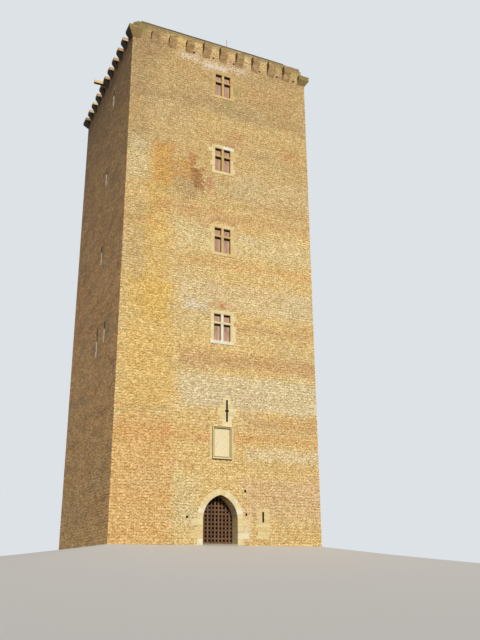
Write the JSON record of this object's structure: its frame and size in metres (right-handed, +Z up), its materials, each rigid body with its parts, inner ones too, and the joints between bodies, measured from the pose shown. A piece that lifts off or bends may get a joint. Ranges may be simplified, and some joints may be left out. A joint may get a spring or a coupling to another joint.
{
  "type": "castle keep",
  "caption": "Tall square brick keep with stone cross windows, slits, a pointed doorway with a sliding lattice portcullis and a corbelled crown.",
  "frame": {"origin": "middle of the walls' footprint at ground level, on the underside of the ground floor", "axes": "+Z up, -Y out of the front with the doorway, +X to the right of a person who faces the front"},
  "size_m": [15.85, 14, 38.25],
  "materials": {
    "brick": "mottled golden brick in pale lime mortar, matt",
    "limestone": "weathered pale limestone, matt",
    "shutter_oak": "reddish brown painted oak boards, matt",
    "gate_oak": "dark weathered oak, matt",
    "floor_oak": "grey brown oak boards, matt",
    "paving": "worn stone paving, matt",
    "rod_paint": "faded pale red paint, matt"
  },
  "bodies": {
    "keep": {"front_wall": "brick", "front_wall_left": "brick", "front_wall_right": "brick", "wall_over_door": "brick", "passage_vault": "brick", "left_wall": "brick", "right_wall": "brick", "back_wall": "brick", "ground_floor": "paving", "upper_floors": "floor_oak", "roof_terrace": "floor_oak", "door_arch": "limestone", "door_jambs": "limestone", "door_sill": "limestone", "panel_frame": "limestone", "panel_slab": "limestone", "arrow_slit_frame": "limestone", "low_slit_frame": "limestone", "front_window_frames": "limestone", "back_window_frames": "limestone", "front_window_shutters": "shutter_oak", "back_window_shutters": "shutter_oak", "left_slit_frames": "limestone", "right_slit_frames": "limestone", "front_corbels": "brick", "back_corbels": "brick", "left_corbels": "brick", "right_corbels": "brick", "corner_corbels": "brick", "front_parapet": "brick", "back_parapet": "brick", "front_coping": "limestone", "back_coping": "limestone", "water_spout": "limestone", "roof_rod": "rod_paint"},
    "gate": {"portcullis": "gate_oak"}
  },
  "joints": [
    {"name": "portcullis_slide", "type": "slide", "parent": "keep", "child": "gate", "axis": [0, 0, 1], "range_m": [0, 2.9]}
  ]
}
